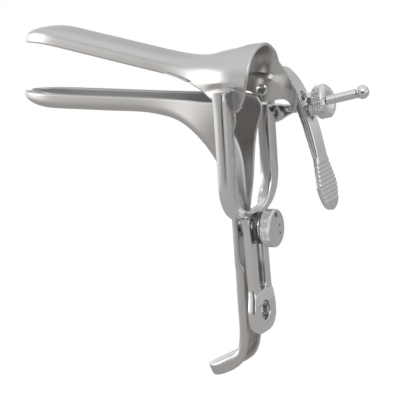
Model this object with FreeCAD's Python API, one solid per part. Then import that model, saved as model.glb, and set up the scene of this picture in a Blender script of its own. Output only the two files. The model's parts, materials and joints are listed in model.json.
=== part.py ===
import FreeCAD, Part
import math
import os
from FreeCAD import Vector

# Bivalve speculum with narrow blades, a side screw and a slide lock, in millimetres.
# X points to the operator, so the blades run towards -X. Z points up along the slotted stem.
# Y points to the side that carries the thumb lever and the angle rod.
# The origin is the middle of the hinge axis. The blades stand open as the rod holds them.

# Blades
sheet = 1.4
blade_reach = 105.3
blade_half_width = 10.3
lower_tilt = 3.3
upper_tilt = 14.3
rim_gap_upper = 3.3
rim_gap_lower = 1.5
trough_depth = 6.2
tip_length = 19.0
tip_lip = 1.6

# Hinge
ear_half_width = 16.0
ear_tuck = 1.4
ear_radius = 4.8
flare_height = 24.6
flare_rear = 5.6
pivot_pin_radius = 0.95
pivot_head_radius = 2.4
pivot_head_thickness = 0.9
pivot_cover = 1.5
running_clearance = 0.05

# Handle, foot and its channel
handle_half_width = 7.0
handle_web_x = -9.1
handle_flange = 3.3
handle_flange_upper = 2.4
handle_step_z = -69.5
handle_lean = 1.4
foot_drop = 106.5
foot_reach = 18.5
foot_slope = 25.0

# Yoke
arm_half_inner = 16.3
arm_half_outer = 24.4
arm_rear_x = 1.3
arm_thickness = 5.5
arm_top = 4.0
arm_lean = 1.4
arm_corner = 1.8
arm_inner_corner = 0.3
neck_drop = 6.5
neck_half_depth = 1.3
neck_inner = 19.6
neck_outer = 23.4
lug_radius = 3.3
lug_chamfer = 1.2
bar_front_x = -3.2
bar_relief_half_width = 11.4
yoke_inner_bottom = -47.2
yoke_inner_corner = 12.5
yoke_bar_drop = 2.6
stem_half_width = 8.7
stem_rear_x = 0.0
stem_thickness = 3.4
stem_edge_round = 1.2
paddle_half_width = 10.5
paddle_raise = 0.4
paddle_start_z = -80.0
paddle_end_z = -99.5
paddle_corner = 8.0
slot_half_width = 3.1
slot_end_z = -81.2
vee_half_width = 8.0
vee_bottom_z = -61.5
bore_radius = 4.1
bore_z = -90.0

# Slide lock
stud_z = -55.1
stud_radius = 2.5
stud_shoulder_radius = 4.4
stud_head_radius = 3.6
stud_head_thickness = 0.9
washer_radius = 6.6
washer_thickness = 1.6
knob_radius = 7.9
knob_boss_radius = 5.6
knob_boss_length = 1.3
knob_length = 5.5
knob_edge = 0.6
stop_pin_radius = 0.8
stop_pin_offset = 1.1

# Angle rod, nut and lever
rod_clearance = 0.6
rod_pin_x = -2.0
rod_pin_z = -11.9
rod_rise = 11.1
rod_radius = 2.0
rod_length = 42.0
rod_pin_radius = 1.6
rod_pin_head_radius = 2.6
rod_pin_head_thickness = 0.8
eye_thickness = 3.0
rod_y = arm_half_outer + rod_clearance + eye_thickness / 2.0
eye_outer_radius = 3.9
eye_play = 1.7
eye_taper_length = 10.4
eye_flat_end = 8.0
ball_radius = 2.85
nut_radius = 7.15
nut_length = 5.6
nut_back = 21.6
nut_boss_radius = 5.0
nut_boss_length = 3.4
nut_edge = 0.7
countersink_radius = 3.4
countersink_depth = 1.6
lever_half_width = 5.0
lever_thickness = 3.4
lever_pad_half_width = 8.6
lever_slot_half_width = 2.5
lever_slot_top_z = -2.6
lever_slot_bottom_z = -15.2
lever_end_z = -53.0
lever_shoulder = 9.5


def rotated(shape, degrees, centre=Vector(0, 0, 0)):
    """Turn a shape about the Y axis; a positive angle lifts what lies towards -X."""
    copy = shape.copy()
    copy.rotate(centre, Vector(0, 1, 0), degrees)
    return copy


def spline(points):
    curve = Part.BSplineCurve()
    curve.interpolate([Vector(*p) for p in points])
    return curve.toShape()


def line(a, b):
    return Part.makeLine(Vector(*a), Vector(*b))


def arc(start, middle, end):
    return Part.Arc(Vector(*start), Vector(*middle), Vector(*end)).toShape()


def s_bend(start, end):
    """Two equal arcs in the plane x = 0 that leave start and reach end along Z, as (y, z) points."""
    half_run = (end[1] - start[1]) / 2.0
    half_shift = (end[0] - start[0]) / 2.0
    radius = (half_run ** 2 + half_shift ** 2) / (2.0 * abs(half_shift))
    half_angle = math.asin(abs(half_run) / radius) / 2.0
    shift = math.copysign(radius * (1.0 - math.cos(half_angle)), half_shift)
    run = math.copysign(radius * math.sin(half_angle), half_run)
    middle = (0, start[0] + half_shift, start[1] + half_run)
    return [arc((0, start[0], start[1]), (0, start[0] + shift, start[1] + run), middle),
            arc(middle, (0, end[0] - shift, end[1] - run), (0, end[0], end[1]))]


def arch_quarter(half, height, power, side, place):
    """Side wall, corner arc and crown arc of one half of an arch, from its rim to its crown.

    The corner arc follows the rounded arch |y/half|^power + (rise/height)^power = 1, and the crown
    arc leaves it without a kink and ends level in the middle."""
    corner = min(half, height) * 3.25 * (1.0 - 0.5 ** (1.0 / power))
    wall = 0.95 * height - corner
    crown = ((half - corner) ** 2 + (height - wall) ** 2 - corner ** 2) / (2.0 * (height - wall - corner))
    lean = math.asin((half - corner) / (crown - corner))
    turn = (math.pi / 2.0 - lean) / 2.0

    def on_corner(angle):
        return place(side * (half - corner + corner * math.cos(angle)), wall + corner * math.sin(angle))

    def on_crown(angle):
        return place(side * crown * math.sin(angle), height - crown + crown * math.cos(angle))

    return [line(place(side * half, 0), place(side * half, wall)),
            arc(on_corner(0), on_corner(turn), on_corner(2.0 * turn)),
            arc(on_crown(lean), on_crown(lean / 2.0), on_crown(0))]


def section_wire(origin, inward, near_half, far_half, height, power, wall, tuck):
    """Closed section of a trough. Its floor is at origin and its open side lies along inward.

    Below its rims each side wall steps inwards by the tuck."""
    def place(y, rise):
        depth = height - rise
        return (origin[0] + inward[0] * depth, y, origin[1] + inward[1] * depth)

    near_arch = arch_quarter(near_half, height, power, -1, place)
    far_arch = arch_quarter(far_half, height, power, 1, place)
    step = -tuck - 0.2
    ends = [place(far_half, 0), place(far_half - tuck, step), place(far_half - tuck, -wall),
            place(tuck - near_half, -wall), place(tuck - near_half, step), place(-near_half, 0)]
    return Part.Wire(near_arch + far_arch[::-1] + polyline(ends))


def trough(stations, thickness):
    """Pressed sheet lofted through stations (x, z, angle, near, far, height, power, wall, tuck)."""
    outer, inner = [], []
    for x, z, angle, near, far, height, power, wall, tuck in stations:
        a = math.radians(angle)
        inward = (math.sin(a), math.cos(a))
        outer.append(section_wire((x, z), inward, near, far, height, power, wall, tuck))
        floor = (x + inward[0] * thickness, z + inward[1] * thickness)
        inner_height = max(height - thickness, 0.35 * height)
        inner.append(section_wire(floor, inward, max(near - thickness, 0.3 * near),
                                  max(far - thickness, 0.3 * far), inner_height, power,
                                  wall + 2 * thickness, tuck))
    return Part.makeLoft(outer, True, True), Part.makeLoft(inner, True, True)


def between(before, start, end, after):
    """Station halfway between start and end on a smooth curve through all four."""
    middle = [(9 * b + 9 * c - a - d) / 16.0 for a, b, c, d in zip(before, start, end, after)]
    return tuple(middle)


def refined(stations):
    """Add a smooth midpoint between every two stations."""
    last = len(stations) - 1
    result = [stations[0]]
    for i in range(last):
        result.append(between(stations[max(i - 1, 0)], stations[i], stations[i + 1], stations[min(i + 2, last)]))
        result.append(stations[i + 1])
    return result


def side_prism(edges, y_from, y_to):
    """Extrude a closed side outline, given as edges in the plane y = 0, between two y values."""
    face = Part.Face(Part.Wire(Part.__sortEdges__(edges)))
    face.translate(Vector(0, y_from, 0))
    return face.extrude(Vector(0, y_to - y_from, 0))


def polyline(points):
    return [line(a, b) for a, b in zip(points, points[1:])]


def cylinder(radius, start, end):
    start, end = Vector(*start), Vector(*end)
    return Part.makeCylinder(radius, (end - start).Length, start, end - start)


def box(x0, x1, y0, y1, z0, z1):
    return Part.makeBox(x1 - x0, y1 - y0, z1 - z0, Vector(x0, y0, z0))


def one_solid(shape):
    """The single solid of a result, the largest if a sliver was left beside it."""
    return max(shape.Solids, key=lambda s: s.Volume)


def tip_shrink(u):
    """Share of the half width that is left at a distance u from the hinge, by a rounded bill."""
    start = blade_reach - tip_length
    if u <= start:
        return 1.0
    t = (u - start) / (tip_length + 0.4)
    return (1.0 - t ** 2.2) ** (1.0 / 2.2)


def web_at(z):
    """X of the handle's front face at a height z; the handle leans forward below z = -50."""
    return handle_web_x - math.tan(math.radians(handle_lean)) * (-50.0 - z)


# Lever outline: centre line of its rear face, from the flare to the grip, as (x, z).
lever_rear = [(7.3, 8.6), (8.4, 5.6), (9.9, 2.4), (12.4, -2.8), (14.4, -8.4), (16.6, -15.4),
              (18.6, -24.6), (19.9, -32.0), (21.6, -41.0), (22.7, -48.0), (23.3, lever_end_z)]


def offset_points(points, distance):
    """Shift a run of (x, z) points sideways, towards the blades, by a distance."""
    shifted = []
    last = len(points) - 1
    for i, (x, z) in enumerate(points):
        x0, z0 = points[max(i - 1, 0)]
        x1, z1 = points[min(i + 1, last)]
        run = math.hypot(x1 - x0, z1 - z0)
        shifted.append((x + distance * (z1 - z0) / run, z - distance * (x1 - x0) / run))
    return shifted


def make_thumb_lever():
    """Curved bar with a rounded shoulder, a slot for the rod and a wider grip at its lower end."""
    rear = [(x, 0, z) for x, z in lever_rear]
    front = [(x, 0, z) for x, z in offset_points(lever_rear, lever_thickness)]
    outline = [spline(rear), line(rear[-1], front[-1]), spline(front[::-1]), line(front[0], rear[0])]
    bar = side_prism(outline, rod_y - lever_pad_half_width, rod_y + lever_pad_half_width)
    neck_z, pad_z = -30.0, -42.0
    half, pad = lever_half_width, lever_pad_half_width
    side, top = rod_y + half, lever_rear[0][1]
    k = math.sqrt(0.5)
    r = lever_shoulder
    shoulder = arc((0, side, top - r), (0, side - r * (1 - k), top - r * (1 - k)), (0, side - r, top))
    tip = arc((0, rod_y + pad, pad_z), (0, rod_y, lever_end_z + 0.4), (0, rod_y - pad, pad_z))
    edges = polyline([(0, rod_y - half, neck_z), (0, rod_y - half, top), (0, side - r, top)])
    edges += [shoulder, line((0, side, top - r), (0, side, neck_z)), tip]
    edges += s_bend((rod_y + half, neck_z), (rod_y + pad, pad_z))
    edges += s_bend((rod_y - half, neck_z), (rod_y - pad, pad_z))
    plan = Part.Face(Part.Wire(Part.__sortEdges__(edges)))
    bar = bar.common(plan.extrude(Vector(60, 0, 0)))
    r = lever_slot_half_width
    slot = box(0, 40, rod_y - r, rod_y + r, lever_slot_bottom_z + r, lever_slot_top_z - r)
    slot = slot.fuse(cylinder(r, (0, rod_y, lever_slot_bottom_z + r), (40, rod_y, lever_slot_bottom_z + r)))
    slot = slot.fuse(cylinder(r, (0, rod_y, lever_slot_top_z - r), (40, rod_y, lever_slot_top_z - r)))
    return one_solid(bar.cut(slot))


def make_upper_blade(lever):
    """Upper valve: a drooping bill, a flat trough and a flare that rises into two ears."""
    stations = []
    crown = rim_gap_upper + trough_depth
    rim, tuck = ear_half_width + ear_tuck, ear_tuck
    widths = [(-15.0, rim, rim + 6.0, flare_height + 1.2, 6.6, 2.15, tuck),
              (-9.0, rim, rim + 5.2, flare_height, 6.6, 2.15, tuck),
              (-5.0, rim, rim + 2.4, flare_height - 1.6, 6.6, 2.15, tuck),
              (-2.2, rim, rim, flare_height - 2.7, 6.6, 2.2, tuck),
              (2.2, rim, rim, flare_height - 4.2, 6.4, 2.2, tuck),
              (7.0, rim - 0.8, rim - 0.8, flare_height - 6.5, 5.4, 2.3, tuck - 0.2),
              (13.0, rim - 3.2, rim - 3.2, crown + 6.0, 3.4, 2.6, 0.5),
              (18.0, blade_half_width + 2.2, blade_half_width + 2.2, crown + 3.6, 2.3, 3.0, 0.2),
              (24.0, blade_half_width + 0.8, blade_half_width + 0.8, crown + 1.6, 2.6, 3.6, 0.0),
              (31.0, blade_half_width + 0.1, blade_half_width + 0.1, crown + 0.5, 3.1, 4.2, 0.0),
              (42.0, blade_half_width, blade_half_width, crown, rim_gap_upper, 4.5, 0.0)]
    for u, near, far, top, base, power, tuck in widths:
        stations.append((-u, top, 180.0, near, far, top - base, power, 10.0, tuck))
    bill = []
    for share in (0.0, 0.32, 0.6, 0.8, 0.92, 0.985):
        u = blade_reach - tip_length * (1.0 - share)
        half = blade_half_width * tip_shrink(u)
        top = tip_lip + (crown - tip_lip) * (1.0 - share ** 2.4) ** 0.6
        base = min(rim_gap_upper, top - 0.7)
        bill.append((-u, top, 180.0, half, half, top - base, 4.5 - 1.5 * share, 10.0, 0.0))
    solid, hollow = trough(refined(stations) + refined(bill), sheet)
    shell = solid.cut(hollow)
    reach = blade_reach + 4
    tip_start = blade_reach - tip_length
    rim_curve = spline([(-reach, 0, tip_lip - 1.6), (-blade_reach, 0, tip_lip - 1.0),
                        (-tip_start - 0.62 * tip_length, 0, rim_gap_upper - 1.0),
                        (-tip_start - 0.3 * tip_length, 0, rim_gap_upper - 0.25),
                        (-tip_start, 0, rim_gap_upper)])
    r = ear_radius
    leave = math.radians(28)
    ear_front = (-r * math.cos(leave), -r * math.sin(leave))
    drop = [(-32.0, rim_gap_upper), (-25.8, 2.9), (-19.0, 1.9), (-13.0, 0.3), (-8.0, -1.4), ear_front]
    drop_curve = spline([(x, 0, z) for x, z in drop])
    straight = line((-tip_start, 0, rim_gap_upper), (-32.0, 0, rim_gap_upper))
    ear_rear = (r, 0, -0.2)
    ear_arc = arc((ear_front[0], 0, ear_front[1]), (0, 0, -r), ear_rear)
    roof = flare_height + 6
    crown_end = (flare_rear - 2.0, 0, flare_height)
    near_rear = spline([ear_rear, (flare_rear, 0, 5.0), (flare_rear, 0, 12.0), (flare_rear - 1.0, 0, 18.0),
                        crown_end, (flare_rear - 2.2, 0, roof)])
    start = (-reach, 0, tip_lip - 1.6)
    corner = (-reach, 0, roof)
    near_end = (flare_rear - 2.2, 0, roof)
    near_side = side_prism([rim_curve, straight, drop_curve, ear_arc, near_rear, line(near_end, corner),
                            line(corner, start)], -40, 0)
    far_low = [(0.0, 0, -r), (3.0, 0, -3.4), (6.4, 0, -2.6), (9.0, 0, -3.6), (12.6, 0, -7.4)]
    far_arc = arc((ear_front[0], 0, ear_front[1]), (-r * math.sin(leave), 0, -r * math.cos(leave)), far_low[0])
    far_rear = [(12.6, 0, 8.0), (flare_rear - 0.7, 0, 10.2), (flare_rear - 2.0, 0, 13.0),
                (flare_rear - 2.4, 0, 17.0), (flare_rear - 2.7, 0, 21.0), crown_end, near_end]
    far_side = side_prism([rim_curve, straight, drop_curve, far_arc, spline(far_low),
                           line(far_low[-1], far_rear[0]), line(far_rear[0], far_rear[1]), spline(far_rear[1:]),
                           line(near_end, corner), line(corner, start)], 0, 40)
    blade = shell.common(near_side.fuse(far_side))
    hole = cylinder(pivot_pin_radius + running_clearance, (0, -30, 0), (0, 30, 0))
    blade = rotated(blade.cut(hole), upper_tilt)
    lever_side = rod_y - lever_half_width
    blade = blade.cut(lever).cut(behind_lever(0.0, 8.0)).cut(behind_lever(lever_thickness, lever_side))
    return one_solid(blade)


def behind_lever(depth, y_from):
    """Everything to the rear of a line inside the lever, beyond a y value, for trimming the flare."""
    points = [(x, 0, z) for x, z in offset_points(lever_rear, depth)]
    top = (points[0][0] + 4.0, 0, 18.0)
    edges = [spline(points)] + polyline([points[-1], (60, 0, points[-1][2]), (60, 0, 40), (top[0], 0, 40), top,
                                         points[0]])
    return side_prism(edges, y_from, 60)


def make_lower_blade():
    """Lower valve, handle and foot, one pressed sheet bent down behind the hinge."""
    bill = []
    tilt = math.radians(lower_tilt)
    floor = -(rim_gap_lower + trough_depth + 0.1)

    def on_blade(u, w):
        return (-u * math.cos(tilt) + w * math.sin(tilt), u * math.sin(tilt) + w * math.cos(tilt))

    for share in (0.985, 0.92, 0.8, 0.6, 0.32, 0.0):
        u = blade_reach - tip_length * (1.0 - share)
        half = blade_half_width * tip_shrink(u)
        w = -rim_gap_lower - 0.6 + (floor + rim_gap_lower + 0.6) * (1.0 - share ** 2.4) ** 0.6
        x, z = on_blade(u, w)
        height = max(-rim_gap_lower - w, 0.7)
        bill.append((x, z, lower_tilt, half, half, height, 4.5 - 1.5 * share, 10.0, 0.0))
    x, z = on_blade(44.0, floor)
    stations = [(x, z) + bill[-1][2:]]
    bend = [(-35.0, -6.9, 9, 10.8, 6.4, 4.2), (-28.0, -9.2, 22, 11.9, 6.6, 3.8), (-21.6, -13.6, 38, 13.2, 6.8, 3.4),
            (-16.2, -19.8, 53, 13.2, 6.6, 3.2), (-12.2, -27.6, 67, 11.0, 5.6, 3.4), (-9.9, -36.6, 80, 8.6, 4.6, 3.8),
            (handle_web_x, -45.5, 89, handle_half_width + 0.3, 3.6, 4.2)]
    for x, z, angle, half, height, power in bend:
        stations.append((x, z, angle, half, half, height, power, 26.0, 0.0))
    channel = (90 + handle_lean, handle_half_width, handle_half_width, 3.2, 4.5, 8.0, 0.0)
    stations.append((web_at(-54.0), -54.0) + channel)
    slope = math.radians(foot_slope)
    knee = (handle_web_x - 2.2, -foot_drop)
    foot = [(web_at(-98.0), -98.0) + channel, (knee[0] + 0.4, knee[1] + 3.6, 98) + channel[1:],
            (knee[0] - 1.4, knee[1] - 0.4, 132) + channel[1:]]
    for run, share in ((5.0, 1.0), (10.0, 0.99), (14.0, 0.86), (16.8, 0.6), (foot_reach, 0.2)):
        x = knee[0] - run * math.cos(slope)
        z = knee[1] - run * math.sin(slope)
        half = handle_half_width * share
        foot.append((x, z, 90 + 90 - foot_slope, half, half, 3.2, 4.0, 8.0, 0.0))
    solid, hollow = trough(refined(bill) + refined(stations) + refined(foot), sheet)
    shell = solid.cut(hollow)
    return one_solid(shell.common(lower_side_profile(on_blade)).cut(stud_hole()))


def stud_hole():
    return cylinder(stud_radius, (-30, 0, stud_z), (stem_rear_x, 0, stud_z))


def lower_side_profile(on_blade):
    """Side outline that trims the rims of the lower valve, its ears, the handle and the foot."""
    a = on_blade(blade_reach + 3, -rim_gap_lower)
    b = on_blade(20.0, -rim_gap_lower)
    flange = handle_web_x - 0.3 + handle_flange + 0.4
    upper_flange = handle_web_x + handle_flange_upper
    ear = [(b[0], 0, b[1]), (-11.0, 0, -1.0), (-5.6, 0, -1.2), (-2.2, 0, -2.2), (-0.2, 0, -4.6), (0.4, 0, -7.6),
           (-1.2, 0, -12.5), (-2.9, 0, -19.0), (-3.6, 0, -27.0), (-4.3, 0, -38.0), (upper_flange, 0, -48.0)]
    knee = handle_web_x - 2.2
    foot = [(flange - 0.5, 0, -99.0), (flange - 1.3, 0, -104.0), (knee + 1.4, 0, -foot_drop - 4.4),
            (knee - 4.2, 0, -foot_drop - 8.4), (knee - 11.5, 0, -foot_drop - 11.2),
            (knee - foot_reach - 1.5, 0, -foot_drop - 13.4)]
    step = [(upper_flange, 0, -48.0), (upper_flange - 0.4, 0, handle_step_z), (flange, 0, handle_step_z - 1.2),
            (flange - 0.5, 0, -99.0)]
    far = -140.0
    edges = [line((a[0], 0, a[1]), (b[0], 0, b[1])), spline(ear)] + polyline(step) + [spline(foot)]
    edges += polyline([foot[-1], (far, 0, foot[-1][2]), (far, 0, a[1]), (a[0], 0, a[1])])
    return side_prism(edges, -40, 40)


def make_yoke():
    """Forged U frame whose two arms carry the hinge, and its slotted stem with a paddle end."""
    outer, inner = arm_half_outer, arm_half_inner
    floor = yoke_inner_bottom
    c = yoke_inner_corner
    base = floor - yoke_bar_drop
    k = math.sqrt(0.5)
    turn = 15.5
    outline = [arc((0, -outer, base + turn), (0, -outer + turn * (1 - k), base + turn * (1 - k)),
                   (0, -outer + turn, base)),
               line((0, -outer + turn, base), (0, outer - turn, base)),
               arc((0, outer - turn, base), (0, outer - turn * (1 - k), base + turn * (1 - k)),
                   (0, outer, base + turn)),
               arc((0, inner, floor + c), (0, inner - c * (1 - k), floor + c * (1 - k)), (0, inner - c, floor)),
               line((0, inner - c, floor), (0, c - inner, floor)),
               arc((0, c - inner, floor), (0, c * (1 - k) - inner, floor + c * (1 - k)), (0, -inner, floor + c))]
    outline += polyline([(0, outer, base + turn), (0, outer, arm_top), (0, inner, arm_top), (0, inner, floor + c)])
    outline += polyline([(0, -inner, floor + c), (0, -inner, arm_top), (0, -outer, arm_top),
                         (0, -outer, base + turn)])
    frame = Part.Face(Part.Wire(Part.__sortEdges__(outline))).extrude(Vector(arm_thickness, 0, 0))
    frame.translate(Vector(arm_rear_x - arm_thickness, 0, 0))
    long_edges = [e for e in frame.Edges if e.BoundBox.XLength < 1e-6 and e.BoundBox.ZMin < arm_top - 1]
    outside = [e for e in long_edges if e.BoundBox.ZMin < base + 0.1 or e.BoundBox.YMax < 0.5 - outer
               or e.BoundBox.YMin > outer - 0.5]
    frame = frame.makeFillet(arm_corner, outside)
    long_edges = [e for e in frame.Edges if e.BoundBox.XLength < 1e-6 and e.BoundBox.ZMin < arm_top - 1]
    inside = [e for e in long_edges if e.BoundBox.ZMin > floor - 0.1 and e.BoundBox.YMin > -inner - 0.1
              and e.BoundBox.YMax < inner + 0.1]
    frame = frame.makeFillet(arm_inner_corner, inside)
    frame = frame.cut(box(-20, 20, inner - 1, outer + 1, -neck_drop, arm_top + 1))
    frame = frame.fuse(box(-neck_half_depth, neck_half_depth, neck_inner, neck_outer, -neck_drop - 1, 0.5))
    lug_start = inner + lug_chamfer
    frame = frame.fuse(cylinder(lug_radius, (0, lug_start, 0), (0, neck_outer - 0.4, 0)))
    frame = frame.fuse(Part.makeCone(lug_radius - lug_chamfer, lug_radius, lug_chamfer, Vector(0, inner, 0),
                                     Vector(0, 1, 0)))
    relief = bar_relief_half_width
    frame = frame.cut(box(-20, bar_front_x + math.tan(math.radians(arm_lean)) * -floor, -relief, relief, -70, floor + 9))
    frame = rotated(frame, arm_lean)
    stem = make_stem_plate(base)
    yoke = frame.fuse(stem)
    yoke = yoke.cut(make_vee_and_slot(base))
    pin = cylinder(pivot_pin_radius + 0.01, (0, pivot_cover - outer, 0), (0, 30, 0))
    yoke = yoke.cut(pin)
    yoke = yoke.cut(cylinder(rod_pin_radius + 0.01, (rod_pin_x, inner + 2.0, rod_pin_z),
                             (rod_pin_x, 40, rod_pin_z)))
    return one_solid(yoke)


def make_stem_plate(base):
    """Flat stem that widens into the paddle, whose rear face is raised above the stem's."""
    w, p = stem_half_width, paddle_half_width
    r = paddle_corner
    k = math.sqrt(0.5)
    end, start = paddle_end_z, paddle_start_z
    top = base + 1.4

    def half(side):
        s = side
        corner = arc((0, s * p, end + r), (0, s * (p - r * (1 - k)), end + r * (1 - k)), (0, s * (p - r), end))
        edges = polyline([(0, s * (w + 3.4), top), (0, s * w, top - 5.0), (0, s * w, start)])
        edges += s_bend((s * w, start), (s * p, start - 8.5))
        return edges + [line((0, s * p, start - 8.5), (0, s * p, end + r)), corner]

    edges = half(1) + half(-1) + [line((0, -(p - r), end), (0, p - r, end)),
                                  line((0, -(w + 3.4), top), (0, w + 3.4, top))]
    plate = Part.Face(Part.Wire(Part.__sortEdges__(edges)))
    plate = plate.extrude(Vector(stem_thickness + paddle_raise, 0, 0))
    plate.translate(Vector(stem_rear_x - stem_thickness, 0, 0))
    rim = [e for e in plate.Edges if abs(e.BoundBox.XLength) < 1e-6 and e.BoundBox.ZMax < top + 0.1
           and e.BoundBox.ZLength > 1.0]
    plate = plate.makeFillet(stem_edge_round, rim)
    ramp_top = slot_end_z - 0.8
    above = polyline([(stem_rear_x, 0, 0), (stem_rear_x, 0, ramp_top), (5.0, 0, ramp_top - 5.0), (5.0, 0, 0),
                      (stem_rear_x, 0, 0)])
    bore = cylinder(bore_radius, (-20, 0, bore_z), (20, 0, bore_z))
    return plate.cut(side_prism(above, -30, 30)).cut(bore)


def make_vee_and_slot(base):
    s, v = slot_half_width, vee_half_width
    end = slot_end_z + s
    tip = arc((0, -s, end), (0, 0, slot_end_z), (0, s, end))
    edges = [line((0, -v, base), (0, -s, vee_bottom_z)), line((0, -s, vee_bottom_z), (0, -s, end)), tip,
             line((0, s, end), (0, s, vee_bottom_z)), line((0, s, vee_bottom_z), (0, v, base)),
             line((0, v, base), (0, -v, base))]
    face = Part.Face(Part.Wire(Part.__sortEdges__(edges)))
    face.translate(Vector(-20, 0, 0))
    return face.extrude(Vector(40, 0, 0))


def make_pivot_rivet(side):
    """Hinge rivet: a round head inside the ear and a shank that is set in the yoke arm."""
    head_end = ear_half_width - sheet - 0.2
    shank_end = arm_half_outer if side > 0 else arm_half_outer - pivot_cover
    shank = cylinder(pivot_pin_radius, (0, side * head_end, 0), (0, side * shank_end, 0))
    head = cylinder(pivot_head_radius, (0, side * (head_end - pivot_head_thickness), 0), (0, side * head_end, 0))
    return one_solid(shank.fuse(head))


def make_rod_pin():
    start = arm_half_inner + 2.0
    eye_end = rod_y + eye_thickness / 2 + 0.1
    shank = cylinder(rod_pin_radius, (rod_pin_x, start, rod_pin_z), (rod_pin_x, eye_end, rod_pin_z))
    head = cylinder(rod_pin_head_radius, (rod_pin_x, eye_end, rod_pin_z),
                    (rod_pin_x, eye_end + rod_pin_head_thickness, rod_pin_z))
    return one_solid(shank.fuse(head))


def rod_frame(shape):
    """Place a shape built along +X from the swivel pin onto the rising rod axis."""
    placed = shape.copy()
    placed.translate(Vector(rod_pin_x, rod_y, rod_pin_z))
    return rotated(placed, -rod_rise, Vector(rod_pin_x, rod_y, rod_pin_z))


def make_angle_rod():
    """Rod with a flattened elongated eye at the yoke and a plain core for its screw thread."""
    r = eye_outer_radius
    k = math.sqrt(0.5)
    end = rod_length - ball_radius * 0.8
    nose = arc((-r, 0, 0), (-r * k, 0, r * k), (0, 0, r))
    outline = [nose] + polyline([(0, 0, r), (eye_play + 1.0, 0, r - 0.05), (eye_taper_length, 0, rod_radius),
                                 (end, 0, rod_radius), (end, 0, 0), (-r, 0, 0)])
    bar = Part.Face(Part.Wire(outline)).revolve(Vector(0, 0, 0), Vector(1, 0, 0), 360)
    t = eye_thickness / 2
    bar = bar.cut(box(-r - 1, eye_flat_end, t, r + 1, -r - 1, r + 1))
    bar = bar.cut(box(-r - 1, eye_flat_end, -r - 1, -t, -r - 1, r + 1))
    h = rod_pin_radius + 0.08
    near_end = arc((0, 0, h), (-h, 0, 0), (0, 0, -h))
    far_end = arc((eye_play, 0, -h), (eye_play + h, 0, 0), (eye_play, 0, h))
    hole = side_prism([near_end, line((0, 0, -h), (eye_play, 0, -h)), far_end,
                       line((eye_play, 0, h), (0, 0, h))], -9, 9)
    return rod_frame(one_solid(bar.cut(hole)))


def make_rod_ball():
    ball = Part.makeSphere(ball_radius, Vector(rod_length, 0, 0))
    neck = cylinder(rod_radius, (rod_length - 9, 0, 0), (rod_length - ball_radius * 0.8, 0, 0))
    return rod_frame(one_solid(ball.cut(neck)))


def make_angle_nut():
    """Round nut: a boss that bears on the lever, a rim for the fingers and a countersunk face."""
    r, e = nut_radius, nut_edge
    start, face = nut_back, nut_back + nut_length
    boss = start - nut_boss_length
    hole = rod_radius + running_clearance
    profile = [(boss, 0, hole), (boss, 0, nut_boss_radius - 0.8), (boss + 0.8, 0, nut_boss_radius),
               (start, 0, nut_boss_radius), (start, 0, r - e), (start + e, 0, r), (face - 2 * e, 0, r),
               (face, 0, r - 2 * e), (face, 0, countersink_radius), (face - countersink_depth, 0, hole), (boss, 0, hole)]
    body = Part.Face(Part.Wire(polyline(profile))).revolve(Vector(0, 0, 0), Vector(1, 0, 0), 360)
    return rod_frame(one_solid(body))


def make_slide_stud():
    """Stud set in the handle: a head in front, a shoulder that spaces the stem and a shank."""
    web_rear = web_at(stud_z + stud_shoulder_radius) + sheet + 0.03
    head_rear = web_at(stud_z - stud_head_radius) - 0.03
    head_front = head_rear - stud_head_thickness
    end = stem_rear_x + 0.1 + washer_thickness + knob_boss_length + knob_length - 0.4
    head = cylinder(stud_head_radius, (head_front, 0, stud_z), (head_rear, 0, stud_z))
    shank = cylinder(stud_radius - 0.02, (head_front, 0, stud_z), (end, 0, stud_z))
    shoulder = cylinder(stud_shoulder_radius, (web_rear, 0, stud_z),
                        (stem_rear_x - stem_thickness - 0.1, 0, stud_z))
    stud = one_solid(head.fuse(shank).fuse(shoulder))
    return one_solid(stud.cut(stop_pin_shape()))


def stop_pin_shape():
    x = stem_rear_x + 0.1 + washer_thickness + knob_boss_length + knob_length - stop_pin_offset
    half = stud_radius - 0.3
    return cylinder(stop_pin_radius, (x, -half, stud_z), (x, half, stud_z))


def make_lock_washer():
    x = stem_rear_x + 0.1
    ring = cylinder(washer_radius, (x, 0, stud_z), (x + washer_thickness, 0, stud_z))
    return one_solid(ring.cut(cylinder(stud_radius + 0.15, (x - 1, 0, stud_z), (x + 9, 0, stud_z))))


def make_lock_knob():
    """Round knob turned about the stud: a boss, a rim for the fingers and a plain face."""
    r, e = knob_radius, knob_edge
    back = stem_rear_x + 0.2 + washer_thickness
    rim = back + knob_boss_length
    face = rim + knob_length
    hole = stud_radius + running_clearance
    profile = [(back, 0, hole), (back, 0, knob_boss_radius), (rim, 0, knob_boss_radius), (rim, 0, r - 2 * e),
               (rim + 2 * e, 0, r), (face - e, 0, r), (face, 0, r - e), (face, 0, 0), (face - 0.5, 0, 0),
               (face - 0.5, 0, hole), (back, 0, hole)]
    body = Part.Face(Part.Wire(polyline(profile))).revolve(Vector(0, 0, 0), Vector(1, 0, 0), 360)
    body.translate(Vector(0, 0, stud_z))
    return one_solid(body)


def build():
    lever = make_thumb_lever()
    return {
        "lower_blade": make_lower_blade(),
        "upper_blade": make_upper_blade(lever),
        "thumb_lever": lever,
        "yoke": make_yoke(),
        "near_pivot_rivet": make_pivot_rivet(-1),
        "far_pivot_rivet": make_pivot_rivet(1),
        "rod_swivel_pin": make_rod_pin(),
        "angle_rod": make_angle_rod(),
        "rod_ball_end": make_rod_ball(),
        "angle_nut": make_angle_nut(),
        "slide_stud": make_slide_stud(),
        "lock_washer": make_lock_washer(),
        "lock_knob": make_lock_knob(),
    }


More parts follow.
